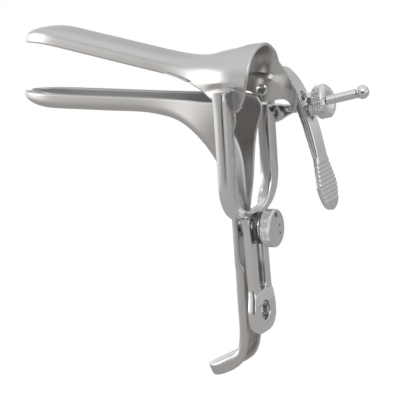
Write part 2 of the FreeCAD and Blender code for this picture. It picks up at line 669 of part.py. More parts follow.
os.makedirs("parts", exist_ok=True)
for name, shape in build().items():
    shape.exportStep("parts/%s.step" % name)
    bounds = shape.BoundBox
    print("%-18s valid %s volume %9.2f  x %.1f %.1f  y %.1f %.1f  z %.1f %.1f" % (
        name, shape.isValid(), shape.Volume, bounds.XMin, bounds.XMax, bounds.YMin, bounds.YMax,
        bounds.ZMin, bounds.ZMax))
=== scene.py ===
import json
import math

import bpy
import numpy as np
from mathutils import Matrix, Vector
from mathutils.geometry import delaunay_2d_cdt

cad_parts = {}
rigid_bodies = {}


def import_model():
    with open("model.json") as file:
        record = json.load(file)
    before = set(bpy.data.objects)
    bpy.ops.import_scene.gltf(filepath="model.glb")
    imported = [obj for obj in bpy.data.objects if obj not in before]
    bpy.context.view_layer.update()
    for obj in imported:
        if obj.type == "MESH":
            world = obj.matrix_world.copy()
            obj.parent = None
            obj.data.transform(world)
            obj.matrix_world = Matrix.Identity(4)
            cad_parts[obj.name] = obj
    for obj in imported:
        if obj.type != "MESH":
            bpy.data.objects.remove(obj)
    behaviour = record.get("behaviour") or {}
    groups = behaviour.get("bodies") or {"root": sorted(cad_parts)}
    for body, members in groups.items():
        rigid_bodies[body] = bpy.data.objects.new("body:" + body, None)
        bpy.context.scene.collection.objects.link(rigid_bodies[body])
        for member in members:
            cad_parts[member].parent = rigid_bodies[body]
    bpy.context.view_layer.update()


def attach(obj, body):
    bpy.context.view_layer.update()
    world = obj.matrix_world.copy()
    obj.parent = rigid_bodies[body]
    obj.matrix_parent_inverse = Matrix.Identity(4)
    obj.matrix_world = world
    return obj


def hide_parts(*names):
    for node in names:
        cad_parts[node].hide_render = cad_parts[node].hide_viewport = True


# All lengths are in millimetres until a mesh is made, which stores metres.
MM = 0.001

# Meshes: points closer than MERGE become one, and faces that meet below SMOOTH_ANGLE degrees are shaded as
# one. The last two are the steps round the rim of a pressed sheet and round the edge of a plate.
MERGE = 0.0005
SMOOTH_ANGLE = 40
RIM_STEPS = 5
EDGE_STEPS = 4

# Camera, found by fitting the perspective to the outline of the object
CAMERA_PLACE = (261.9, -541.52, 75.73)
CAMERA_RIGHT = (0.8875, 0.4518, -0.0904)
CAMERA_UP = (-0.0080, 0.2112, 0.9774)
CAMERA_LENS = 134.7

# Blades
SHEET = 1.4
REACH = 105.3
HALF_WIDTH = 10.3
UPPER_TILT = 14.3
LOWER_TILT = 3.3
UPPER_GAP = 3.3
LOWER_GAP = 1.5
TROUGH = 6.2
TIP = 19.0
TIP_LIP = 1.6
CROWN = UPPER_GAP + TROUGH

# End of the bill: its last row stops at the share BILL_END of the tip and is kept open by BLUNT
BILL_END = 0.9985
BLUNT = 0.4

# Flare and ears of the upper blade, whose rows fan out behind FAN_START
FAN_START = -32
EAR_HALF = 16.0
EAR_TUCK = 1.4
EAR_RADIUS = 4.8
FLARE_TOP = 24.6

# Hinge: radius of its rivets, and the metal left over the end of the near one
PIVOT = 0.95
PIVOT_COVER = 1.5
LUG_RADIUS = 3.3
LUG_CHAMFER = 1.2

# Rear rims of the flare as (x, z): the side of the plain ear, and the side that runs into the lever
FLARE_NEAR = [(4.8, -0.2), (5.6, 5.0), (5.6, 12.0), (4.6, 18.0), (3.6, 24.6)]
FLARE_FAR = [(12.6, -7.4), (13.0, -3.0), (12.6, 0.4), (9.0, 4.8), (6.9, 7.5), (5.0, 10.1), (3.75, 12.2),
             (3.35, 15.0), (3.0, 18.0), (2.7, 21.0), (3.6, 24.6)]

# Handle
WEB_X = -9.1
HANDLE_HALF = 7.0
HANDLE_LEAN = 1.4

# Yoke
ARM_INNER = 16.3
ARM_OUTER = 24.4
ARM_REAR = 1.3
ARM_DEPTH = 5.5
ARM_TOP = 4.0
FAR_ARM_TOP = -6.5
ARM_LEAN = 1.4
BAR_RELIEF = 11.4
BAR_FRONT = -2.0
STEM_HALF = 8.7
STEM_DEPTH = 3.4
PADDLE_HALF = 10.5
PADDLE_RAISE = 0.4
PADDLE_HOLE = 4.1
PADDLE_HOLE_Z = -90
GRIP_LINES = (-82.6, -86.2)
GRIP_PITCH = 1.2

# Thumb lever, with its rear profile as (x, z)
LEVER_SHOULDER = 9.5
LEVER_DEPTH = 3.4
LEVER_REAR = [(7.3, 8.6), (8.4, 5.6), (9.9, 2.4), (12.4, -2.8), (14.4, -8.4), (16.6, -15.4),
              (18.6, -24.6), (19.9, -32.0), (21.6, -41.0), (22.7, -48.0), (23.3, -53.0)]

# Screw parts
ROD_Y = 26.5
ROD_PIN = (-2.0, -11.9)
ROD_RISE = 11.1
STUD_Z = -55.1
STUD_RADIUS = 2.48

# Floor of the picture
FLOOR_Z = -175
FLOOR_HALF = 700


def spline(knots, values, at):
    """Natural cubic spline through (knots, values), evaluated at the given places.

    Second derivatives m solve h0*m0 + 2(h0+h1)*m1 + h1*m2 = 6(slope1 - slope0), with m = 0 at the ends."""
    x = np.asarray(knots, float)
    y = np.asarray(values, float)
    count = len(x)
    h = np.diff(x)
    slope = np.diff(y) / h
    system = np.eye(count)
    right = np.zeros(count)
    for i in range(1, count - 1):
        system[i, i - 1] = h[i - 1]
        system[i, i] = 2 * (h[i - 1] + h[i])
        system[i, i + 1] = h[i]
        right[i] = 6 * (slope[i] - slope[i - 1])
    m = np.linalg.solve(system, right)
    at = np.asarray(at, float)
    k = np.clip(np.searchsorted(x, at) - 1, 0, count - 2)
    d = at - x[k]
    first = slope[k] - h[k] * (2 * m[k] + m[k + 1]) / 6
    return y[k] + first * d + m[k] * d ** 2 / 2 + (m[k + 1] - m[k]) * d ** 3 / (6 * h[k])


def even_curve(points, count):
    """Smooth curve through points, with count places at equal steps of its length."""
    points = np.asarray(points, float)
    steps = np.linalg.norm(np.diff(points, axis=0), axis=1)
    run = np.concatenate([[0], np.cumsum(steps)])
    fine = np.linspace(0, run[-1], 600)
    dense = np.stack([spline(run, points[:, c], fine) for c in range(points.shape[1])], 1)
    return resampled(dense, count)


def resampled(points, count):
    """The same polyline with count places at equal steps of its length."""
    steps = np.linalg.norm(np.diff(points, axis=0), axis=1)
    run = np.concatenate([[0], np.cumsum(steps)])
    at = np.linspace(0, run[-1], count)
    return np.stack([np.interp(at, run, points[:, c]) for c in range(points.shape[1])], 1)


def straight(start, end, count):
    """Places at equal steps on the line from start to end."""
    return resampled(np.array([start, end], float), count)


def arc(centre, radius, start, end, count):
    """Points on a circle from the angle start to the angle end, in degrees."""
    t = np.radians(np.linspace(start, end, count))
    return np.stack([centre[0] + radius * np.cos(t), centre[1] + radius * np.sin(t)], 1)


def turned_y(points, degrees, centre=(0, 0)):
    """Turn points about the Y axis: x' = x cos a + z sin a, z' = z cos a - x sin a."""
    a = math.radians(degrees)
    p = np.array(points, float)
    x = p[..., 0] - centre[0]
    z = p[..., 2] - centre[1]
    out = p.copy()
    out[..., 0] = x * math.cos(a) + z * math.sin(a) + centre[0]
    out[..., 2] = z * math.cos(a) - x * math.sin(a) + centre[1]
    return out


def on_rod(points):
    """Move points built along +X from the swivel pin onto the rising rod."""
    p = np.array(points, float) + np.array([ROD_PIN[0], ROD_Y, ROD_PIN[1]])
    return turned_y(p, -ROD_RISE, ROD_PIN)


def on_stud(points):
    """Move points built along the X axis onto the axis of the slide stud."""
    return points + np.array([0, 0, STUD_Z])


class Shape:
    """Vertices and faces that grow piece by piece and become one mesh."""

    def __init__(self):
        self.points = []
        self.faces = []

    def add(self, points, faces):
        start = len(self.points)
        self.points.extend([tuple(p) for p in points])
        self.faces.extend([tuple(start + i for i in f) for f in faces])

    def grid(self, rows, closed=False, flip=False):
        """Add a sheet of four-sided faces over rows[i][j], with each row closed to a ring if asked."""
        rows = np.asarray(rows, float)
        n, m = rows.shape[:2]
        faces = []
        for i in range(n - 1):
            for j in range(m if closed else m - 1):
                a = i * m + j
                b = i * m + (j + 1) % m
                c = (i + 1) * m + (j + 1) % m
                d = (i + 1) * m + j
                faces.append((a, d, c, b) if flip else (a, b, c, d))
        self.add(rows.reshape(-1, 3), faces)

    def make(self, name, material):
        """Mesh object in metres, with its doubled points merged and its normals pointing outwards."""
        mesh = bpy.data.meshes.new(name)
        mesh.from_pydata([(x * MM, y * MM, z * MM) for x, y, z in self.points], [], self.faces)
        obj = bpy.data.objects.new(name, mesh)
        bpy.context.scene.collection.objects.link(obj)
        bpy.context.view_layer.objects.active = obj
        for other in bpy.context.selected_objects:
            other.select_set(False)
        obj.select_set(True)
        bpy.ops.object.mode_set(mode="EDIT")
        bpy.ops.mesh.select_all(action="SELECT")
        bpy.ops.mesh.remove_doubles(threshold=MERGE * MM)
        bpy.ops.mesh.normals_make_consistent(inside=False)
        bpy.ops.object.mode_set(mode="OBJECT")
        bpy.ops.object.shade_smooth_by_angle(angle=math.radians(SMOOTH_ANGLE))
        mesh.materials.append(material)
        return obj


def sheet_normals(rows):
    """Unit normals of a grid: cross product of the central differences along and across."""
    along = np.gradient(rows, axis=0)
    across = np.gradient(rows, axis=1)
    n = np.cross(along, across)
    return n / np.maximum(np.linalg.norm(n, axis=2, keepdims=True), 1e-9)


def pressed_sheet(shape, rows, thickness, inward_sign):
    """Sheet metal over a grid: the second face is the first moved by the thickness along its normal.

    The rim is nearly a half circle across the sheet: middle - n*t/2*cos(a) + out*0.42*t*sin(a), where t is
    the thickness and out points away from the sheet."""
    rows = np.asarray(rows, float)
    normals = sheet_normals(rows) * inward_sign
    other = rows + normals * thickness
    shape.grid(rows)
    shape.grid(other, flip=True)
    n, m = rows.shape[:2]
    loop = [(0, j) for j in range(m)] + [(i, m - 1) for i in range(1, n)]
    loop += [(n - 1, j) for j in range(m - 2, -1, -1)] + [(i, 0) for i in range(n - 2, 0, -1)]
    a = np.array([rows[i, j] for i, j in loop])
    b = np.array([other[i, j] for i, j in loop])
    tangent = np.roll(a, -1, axis=0) - np.roll(a, 1, axis=0)
    tangent /= np.maximum(np.linalg.norm(tangent, axis=1, keepdims=True), 1e-9)
    normal = b - a
    normal /= np.linalg.norm(normal, axis=1, keepdims=True)
    out = np.cross(tangent, normal)
    inside = np.array([rows[min(max(i, 1), n - 2), min(max(j, 1), m - 2)] for i, j in loop]) - a
    side = np.sign(np.sum(out * inside, axis=1, keepdims=True))
    out = -out * np.where(side == 0, 1, side)
    middle = (a + b) / 2
    strips = []
    for k in range(RIM_STEPS + 1):
        t = math.pi * k / RIM_STEPS
        strips.append(middle - normal * thickness / 2 * math.cos(t) + out * thickness * 0.42 * math.sin(t))
    shape.grid(np.array(strips), closed=True)


def offset_loop(loop, inset):
    """Move a closed loop towards its inside by an inset, along the mean normal of its two sides."""
    ahead = np.roll(loop, -1, axis=0) - loop
    behind = loop - np.roll(loop, 1, axis=0)
    ahead /= np.maximum(np.linalg.norm(ahead, axis=1, keepdims=True), 1e-9)
    behind /= np.maximum(np.linalg.norm(behind, axis=1, keepdims=True), 1e-9)
    n1 = np.stack([-ahead[:, 1], ahead[:, 0]], 1)
    n2 = np.stack([-behind[:, 1], behind[:, 0]], 1)
    mean = n1 + n2
    mean /= np.maximum(np.sum(mean * n1, axis=1, keepdims=True), 0.35)
    return loop + mean * np.reshape(inset, (-1, 1))


def turns_left(loop):
    """Signed area test: positive when the loop runs anticlockwise."""
    nxt = np.roll(loop, -1, axis=0)
    return np.sum(loop[:, 0] * nxt[:, 1] - nxt[:, 0] * loop[:, 1]) > 0


def inside_loop(loop, points):
    """Even-odd test of points against a closed loop."""
    result = np.zeros(len(points), bool)
    nxt = np.roll(loop, -1, axis=0)
    for (x0, y0), (x1, y1) in zip(loop, nxt):
        crosses = (y0 > points[:, 1]) != (y1 > points[:, 1])
        with np.errstate(divide="ignore", invalid="ignore"):
            x = x0 + (points[:, 1] - y0) * (x1 - x0) / (y1 - y0)
        result ^= crosses & (points[:, 0] < x)
    return result


def plate(shape, outline, holes, depth, place, round_out, round_hole=0.4, extra=()):
    """Flat plate with holes and rounded edges, mapped into space by place(a, b, height).

    Each edge is a quarter circle: inset = r(1 - cos t), height = depth/2 - r(1 - sin t). The extra places
    (a, b) become vertices of both faces, so that place can shape them there."""
    loops = []
    outline = np.asarray(outline, float)
    if not turns_left(outline):
        outline = outline[::-1]
        if np.ndim(round_out):
            round_out = np.asarray(round_out)[::-1]
    loops.append((outline, round_out))
    for hole in holes:
        hole = np.asarray(hole, float)
        loops.append((hole[::-1] if turns_left(hole) else hole, round_hole))
    inner = []
    for loop, radius in loops:
        radius = np.broadcast_to(np.asarray(radius, float), (len(loop),))
        strips = []
        for side in (-1, 1):
            order = range(EDGE_STEPS, -1, -1) if side < 0 else range(EDGE_STEPS + 1)
            for k in order:
                t = math.pi / 2 * k / EDGE_STEPS
                inset = radius * (1 - math.cos(t))
                height = side * (depth / 2 - radius * (1 - math.sin(t)))
                flat = offset_loop(loop, inset)
                strips.append(place(flat[:, 0], flat[:, 1], height))
        shape.grid(np.array(strips), closed=True)
        inner.append(offset_loop(loop, radius))
    points = [tuple(p) for loop in inner for p in loop]
    edges = []
    start = 0
    for loop in inner:
        edges += [(start + i, start + (i + 1) % len(loop)) for i in range(len(loop))]
        start += len(loop)
    if len(extra):
        extra = np.asarray(extra, float)
        margin = 0.15
        clear = inside_loop(offset_loop(inner[0], margin), extra)
        for loop in inner[1:]:
            clear &= ~inside_loop(offset_loop(loop, margin), extra)
        points += [tuple(p) for p in extra[clear]]
    made, _, faces, _, _, _ = delaunay_2d_cdt([Vector(p) for p in points], edges, [], 0, 1e-5)
    flat = np.array([tuple(v) for v in made])
    centres = np.array([flat[list(f)].mean(axis=0) for f in faces])
    good = inside_loop(inner[0], centres)
    for loop in inner[1:]:
        good &= ~inside_loop(loop, centres)
    for side in (-1, 1):
        placed = place(flat[:, 0], flat[:, 1], np.full(len(flat), side * depth / 2))
        kept = [tuple(f) if side > 0 else tuple(f)[::-1] for f, g in zip(faces, good) if g]
        shape.add(placed, kept)


def turned_piece(shape, profile, place, segments=64, ripple=None):
    """Solid of revolution about the local X axis: (x, r) becomes (x, r cos t, r sin t).

    ripple(x, r, t) may change the radius, for a knurl or a thread."""
    profile = np.asarray(profile, float)
    t = np.linspace(0, 2 * math.pi, segments, endpoint=False)
    x = np.repeat(profile[:, :1], segments, axis=1)
    r = np.repeat(profile[:, 1:2], segments, axis=1)
    if ripple is not None:
        r = ripple(x, r, t[None, :])
    rows = np.stack([x, r * np.cos(t), r * np.sin(t)], 2)
    shape.grid(place(rows), closed=True)


def dense_profile(points, step):
    """Add places along a profile so that no two are further apart than the step."""
    out = [points[0]]
    for a, b in zip(points, points[1:]):
        count = max(1, int(math.ceil(math.dist(a, b) / step)))
        for k in range(1, count + 1):
            out.append((a[0] + (b[0] - a[0]) * k / count, a[1] + (b[1] - a[1]) * k / count))
    return out


def bill(share):
    """Width left at a share of the tip's length: (1 - share^2.2)^(1/2.2)."""
    return np.maximum(1.0 - np.abs(share) ** 2.2, 0.0) ** (1 / 2.2)


def upper_section(u):
    """Near and far half width, crown, springing, power and tuck of the upper blade at a distance u."""
    rim = EAR_HALF + EAR_TUCK
    h = HALF_WIDTH
    table = np.array([
        (-15.0, rim, rim + 6.0, FLARE_TOP + 1.2, 6.6, 2.15, EAR_TUCK),
        (-9.0, rim, rim + 5.2, FLARE_TOP, 6.6, 2.15, EAR_TUCK),
        (-5.0, rim, rim + 2.4, FLARE_TOP - 1.6, 6.6, 2.15, EAR_TUCK),
        (-2.2, rim, rim, FLARE_TOP - 2.7, 6.6, 2.2, EAR_TUCK),
        (2.2, rim, rim, FLARE_TOP - 4.2, 6.4, 2.2, EAR_TUCK),
        (7.0, rim - 0.8, rim - 0.8, FLARE_TOP - 6.5, 5.4, 2.3, EAR_TUCK - 0.2),
        (13.0, rim - 3.2, rim - 3.2, CROWN + 6.0, 3.4, 2.6, 0.5),
        (18.0, h + 2.2, h + 2.2, CROWN + 3.6, 2.3, 3.0, 0.2),
        (24.0, h + 0.8, h + 0.8, CROWN + 1.6, 2.6, 3.6, 0.0),
        (31.0, h + 0.1, h + 0.1, CROWN + 0.5, 3.1, 4.2, 0.0),
        (42.0, h, h, CROWN, UPPER_GAP, 4.5, 0.0),
    ])
    u = np.asarray(u, float)
    inside = np.clip(u, -15.0, 42.0)
    near, far, top, base, power, tuck = [spline(table[:, 0], table[:, c], inside) for c in range(1, 7)]
    share = np.clip((u - REACH + TIP) / TIP, 0, 1)
    width = bill(share * TIP / (TIP + BLUNT))
    top = np.where(share > 0, TIP_LIP + (CROWN - TIP_LIP) * (1 - share ** 2.4) ** 0.6, top)
    base = np.where(share > 0, np.minimum(UPPER_GAP, top - 0.7), base)
    power = np.where(share > 0, 4.5 - 1.5 * share, power)
    return near * width, far * width, top, base, power, tuck


def rim_x(edge, z):
    """X of a rear rim of the flare at the height z, on a smooth curve through its places."""
    edge = np.array(edge)
    return spline(edge[:, 1], edge[:, 0], np.clip(z, edge[0, 1], edge[-1, 1]))


def arch_height(x, t):
    """Height of the outer surface at x and the arch angle t: base + (top - base) |sin t|^(2/power)."""
    _, _, top, base, power, _ = upper_section(-x)
    return base + (top - base) * np.abs(np.sin(t)) ** (2 / power)


def rear_arch(t):
    """X of the rearmost row at the arch angles t, by repeating x = (x + rim(height at x)) / 2."""
    x = np.full(len(t), 5.0)
    for _ in range(60):
        z = arch_height(x, t)
        x = (x + np.where(np.cos(t) > 0, rim_x(FLARE_NEAR, z), rim_x(FLARE_FAR, z))) / 2
    return x


def upper_blade_rows():
    """Outer surface of the upper blade as a grid, from the bill to the flare and from rim to rim.

    Each row climbs the near wall, crosses a superellipse |y/w|^p + |z/h|^p = 1 and drops to the far rim.
    Behind FAN_START the rows fan out, x = FAN_START + (rear rim - FAN_START) * share, until the last one is
    the rear rim."""
    tip_u = REACH - TIP
    shares = 1 - (1 - np.linspace(0, 1, 30)) ** 1.8
    tip_x = -(tip_u + TIP * shares[::-1] * BILL_END)
    rim_tip = spline([0, 0.3, 0.62, 1.0], [UPPER_GAP, UPPER_GAP - 0.25, UPPER_GAP - 1.0, TIP_LIP - 1.0],
                     shares[::-1])
    body_x = np.linspace(-tip_u, FAN_START, 34)[1:-1]
    ear_rows = 72
    start = [(FAN_START, UPPER_GAP), (-25.8, 2.9), (-19, 1.9), (-13, 0.3), (-8, -1.4)]
    near_low = start + [tuple(p) for p in arc((0, 0), EAR_RADIUS, 208, 357, 16)]
    far_low = start + [tuple(p) for p in arc((0, 0), EAR_RADIUS, 208, 262, 7)]
    far_low += [(3.0, -3.6), (6.4, -2.6), (9.0, -3.6), FLARE_FAR[0]]
    flat_x = np.concatenate([tip_x, body_x])
    flat_z = np.concatenate([rim_tip, np.full(len(body_x), UPPER_GAP)])
    t = np.linspace(0, math.pi, 140)
    rear = rear_arch(t)
    rows = [upper_row((x, z), np.full(len(t), x), (x, z), t, 0.0) for x, z in zip(flat_x, flat_z)]
    lows = zip(even_curve(near_low, ear_rows), even_curve(far_low, ear_rows), np.linspace(0, 1, ear_rows))
    for near, far, share in lows:
        rows.append(upper_row(near, FAN_START + (rear - FAN_START) * share, far, t, share))
    return np.array(rows)


def upper_row(near, arch_x, far, t, share):
    """One row across the upper blade. The rim's tuck draws the wall inwards below the springing.

    The tuck fades in over the height soft, which grows before x = -7, and on the far side behind x = 2.5.
    The far wall bulges to the rear by share^4 times the distance of the rim from a straight line."""
    walls = np.linspace(0, 1, 26)

    def wall(low, top_x, side):
        top_z = upper_section(-top_x)[3]
        x = low[0] + (top_x - low[0]) * walls
        z = low[1] + (top_z - low[1]) * walls
        if side > 0 and share > 0:
            line = np.interp(z, [FLARE_FAR[0][1], top_z], [FLARE_FAR[0][0], rim_x(FLARE_FAR, top_z)])
            x = x + share ** 4 * (rim_x(FLARE_FAR, z) - line)
        near_half, far_half, _, base, _, tuck = upper_section(-x)
        half = far_half if side > 0 else near_half
        longer = 4.0 * np.clip((-7.0 - x) / 6.0, 0, 1)
        if side > 0:
            longer = longer + 5.5 * np.clip((x - 2.5) / 3.5, 0, 1)
        soft = tuck + 0.6 + longer
        drop = np.clip((base + 0.3 * longer - z) / soft, 0, 1)
        return np.stack([x, side * (half - tuck * drop * drop * (3 - 2 * drop)), z], 1)

    c = np.cos(t)
    near_half, far_half, _, _, power, _ = upper_section(-arch_x)
    half = np.where(c > 0, near_half, far_half)
    y = -np.sign(c) * half * np.abs(c) ** (2 / power)
    arch = np.stack([arch_x, y, arch_height(arch_x, t)], 1)[1:-1]
    return resampled(np.concatenate([wall(near, arch_x[0], -1), arch, wall(far, arch_x[-1], 1)[::-1]]), 104)


def lower_point(u, w):
    """Point of the lower blade at a distance u and a height w, tilted up a little."""
    a = math.radians(LOWER_TILT)
    return (-u * math.cos(a) + w * math.sin(a), u * math.sin(a) + w * math.cos(a))


def web_at(z):
    """X of the handle's front face at a height z: a straight line that leans forward below z = -50."""
    return WEB_X - math.tan(math.radians(HANDLE_LEAN)) * (-50.0 - z)


def lower_stations():
    """Path of the lower sheet as (x, z, angle, half width, corner height, power)."""
    floor = -(LOWER_GAP + TROUGH + 0.1)
    rows = []
    for share in (BILL_END, 0.985, 0.95, 0.9, 0.82, 0.7, 0.55, 0.35, 0.15, 0.0):
        u = REACH - TIP * (1 - share)
        half = HALF_WIDTH * float(bill(share * TIP / (TIP + BLUNT)))
        w = -LOWER_GAP - 0.6 + (floor + LOWER_GAP + 0.6) * (1 - share ** 2.4) ** 0.6
        x, z = lower_point(u, w)
        rows.append((x, z, LOWER_TILT, half, max(-LOWER_GAP - w, 0.7), 4.5 - 1.5 * share))
    for u in (74.0, 58.0, 44.0):
        x, z = lower_point(u, floor)
        rows.append((x, z, LOWER_TILT, HALF_WIDTH, TROUGH, 4.5))
    rows += [(-35.0, -6.9, 9, 10.8, 6.4, 4.2), (-28.0, -9.2, 22, 11.9, 6.6, 3.8),
             (-21.6, -13.6, 38, 13.2, 6.8, 3.4), (-16.2, -19.8, 53, 13.2, 6.6, 3.2),
             (-12.2, -27.6, 67, 11.0, 5.6, 3.4), (-9.9, -36.6, 80, 8.6, 4.6, 3.8),
             (WEB_X, -45.5, 89, HANDLE_HALF + 0.3, 3.6, 4.2)]
    for z in (-54.0, -66.0, -77.0, -88.0, -98.0):
        rows.append((web_at(z), z, 90 + HANDLE_LEAN, HANDLE_HALF, 3.2, 4.5))
    knee = (WEB_X - 2.2, -106.5)
    rows.append((knee[0] + 0.4, knee[1] + 3.6, 98, HANDLE_HALF, 3.2, 4.5))
    rows.append((knee[0] - 1.4, knee[1] - 0.4, 132, HANDLE_HALF, 3.4, 4.2))
    slope = math.radians(25)
    for run in (5.0, 9.0, 12.0, 14.5, 16.6, 17.8, 18.4, 18.5):
        share = max(0.0, (run - 9.0) / 9.6)
        rows.append((knee[0] - run * math.cos(slope), knee[1] - run * math.sin(slope), 155,
                     HANDLE_HALF * float(bill(share)), 3.2, 4.0))
    return np.array(rows)


def lower_edge():
    """Side outline of the rims of the lower sheet: blade rim, ear, handle flange and foot flange."""
    past_tip = lower_point(REACH + 3, -LOWER_GAP)
    ear_start = lower_point(20.0, -LOWER_GAP)
    flange = WEB_X - 0.3 + 3.7
    upper = WEB_X + 2.4
    knee = WEB_X - 2.2
    ear = even_curve([ear_start, (-11.0, -1.2), (-5.6, -1.5), (-2.4, -2.6), (-0.7, -4.8), (-0.2, -7.6),
                      (-1.8, -12.5), (-3.5, -19.0), (-4.2, -27.0), (-4.9, -38.0), (upper, -48.0)], 160)
    step = [(upper - 0.4, -69.5), (flange, -71.0), (flange - 0.5, -99.0)]
    foot = even_curve([(flange - 0.5, -99.0), (flange - 1.3, -104.0), (knee + 1.4, -110.9),
                       (knee - 4.2, -114.9), (knee - 11.5, -117.6), (knee - 14.2, -118.0),
                       (knee - 16.2, -117.2), (knee - 18.6, -114.6)], 80)
    return np.concatenate([[past_tip], ear, step, foot])


def reach_to_edge(point, direction, edge):
    """Distance from a point along a direction to the first crossing with a polyline."""
    best = None
    a = edge[:-1]
    d = edge[1:] - a
    cross = direction[0] * d[:, 1] - direction[1] * d[:, 0]
    rel = a - point
    with np.errstate(divide="ignore", invalid="ignore"):
        t = (rel[:, 0] * d[:, 1] - rel[:, 1] * d[:, 0]) / cross
        s = (rel[:, 0] * direction[1] - rel[:, 1] * direction[0]) / cross
    good = (s >= -1e-6) & (s <= 1 + 1e-6) & (t > 0.05)
    if good.any():
        best = float(t[good].min())
    return best


def lower_blade_rows():
    """Outer surface of the lower sheet as a grid along its path, from rim to rim.

    A row is a superellipse floor of half width w and corner height h, with walls that end on the side
    outline. Stations 0 to 9 are the tip, to 12 the straight blade, to 19 the bend, to 24 the handle."""
    stations = lower_stations()
    steps = np.hypot(np.diff(stations[:, 0]), np.diff(stations[:, 1]))
    run = np.concatenate([[0], np.cumsum(steps)])
    fine = np.concatenate([np.linspace(0, run[9], 34)[:-1], np.linspace(run[9], run[12], 16)[:-1],
                           np.linspace(run[12], run[19], 60)[:-1], np.linspace(run[19], run[24], 30)[:-1],
                           np.linspace(run[24], run[-1], 50)])
    values = np.stack([spline(run, stations[:, c], fine) for c in range(6)], 1)
    edge = lower_edge()
    rows = []
    last = None
    for x, z, angle, half, height, power in values:
        a = math.radians(angle)
        inward = np.array([math.sin(a), math.cos(a)])
        reach = reach_to_edge(np.array([x, z]), inward, edge)
        if reach is None:
            reach = last if last is not None else height
        last = reach
        height = min(height, max(reach - 0.2, 0.4))
        half = max(half, 0.8)
        t = np.linspace(0, math.pi, 120)
        c = np.cos(t)
        y = -np.sign(c) * half * np.abs(c) ** (2 / power)
        rise = height * (1 - np.abs(np.sin(t)) ** (2 / power))
        wall = np.linspace(reach, height, 30)[:-1]
        y = np.concatenate([np.full(len(wall), -half), y, np.full(len(wall), half)])
        rise = np.concatenate([wall, rise, wall[::-1]])
        points = np.stack([x + inward[0] * rise, y, z + inward[1] * rise], 1)
        rows.append(resampled(points, 72))
    return np.array(rows)


def yoke_outline():
    """Closed outline of the forked frame in (y, z), and the edge radius at each of its places."""
    base, floor = -49.8, -47.2
    turn, corner = 15.5, 12.5
    out_y, in_y = ARM_OUTER, ARM_INNER
    parts = [
        (straight((-out_y, ARM_TOP), (-out_y, base + turn), 12), 1.9),
        (arc((-out_y + turn, base + turn), turn, 180, 270, 24), 1.9),
        (straight((-out_y + turn, base), (out_y - turn, base), 10), 1.4),
        (arc((out_y - turn, base + turn), turn, 270, 360, 24), 1.9),
        (straight((out_y, base + turn), (out_y, FAR_ARM_TOP), 12), 1.9),
        (straight((out_y, FAR_ARM_TOP), (in_y, FAR_ARM_TOP), 8), 0.5),
        (straight((in_y, FAR_ARM_TOP), (in_y, floor + corner), 12), 0.7),
        (arc((in_y - corner, floor + corner), corner, 0, -90, 24), 0.9),
        (straight((in_y - corner, floor), (corner - in_y, floor), 8), 1.0),
        (arc((corner - in_y, floor + corner), corner, 270, 180, 24), 0.9),
        (straight((-in_y, floor + corner), (-in_y, ARM_TOP), 12), 0.7),
        (straight((-in_y, ARM_TOP), (-out_y, ARM_TOP), 8), 0.5),
    ]
    points = np.concatenate([p[:-1] for p, _ in parts])
    radii = np.concatenate([np.full(len(p) - 1, r) for p, r in parts])
    smooth = np.convolve(np.concatenate([radii[-2:], radii, radii[:2]]), np.ones(5) / 5, "valid")
    return points, smooth


def stem_outline():
    """Closed outline of the stem and its paddle in (y, z)."""
    top, start, end, r = -48.2, -80.0, -99.5, 8.0
    w, p = STEM_HALF, PADDLE_HALF
    right = [even_curve([(w + 4.6, top), (w + 2.1, top - 1.9), (w + 0.6, top - 4.6), (w, top - 8.0)], 14),
             straight((w, top - 8.0), (w, start), 16)[1:],
             even_curve([(w, start), (0.6 * w + 0.4 * p, start - 4), (p, start - 8.5)], 10)[1:],
             arc((p - r, end + r), r, 0, -90, 20)]
    side = np.concatenate(right)
    other = side[::-1].copy()
    other[:, 0] *= -1
    return np.concatenate([side, other])


def stem_slot():
    """Loop of the tapered opening and the slot below it, in (y, z)."""
    s, v = 3.1, 8.0
    end = -81.2 + s
    left = np.array([(-v, -50.2), (-s - 0.5, -60.4), (-s, -61.9), (-s, end)])
    bottom = arc((0, end), s, 180, 360, 20)
    right = np.array([(s, end), (s, -61.9), (s + 0.5, -60.4), (v, -50.2)])
    return np.concatenate([left[:-1], bottom, right[1:]])


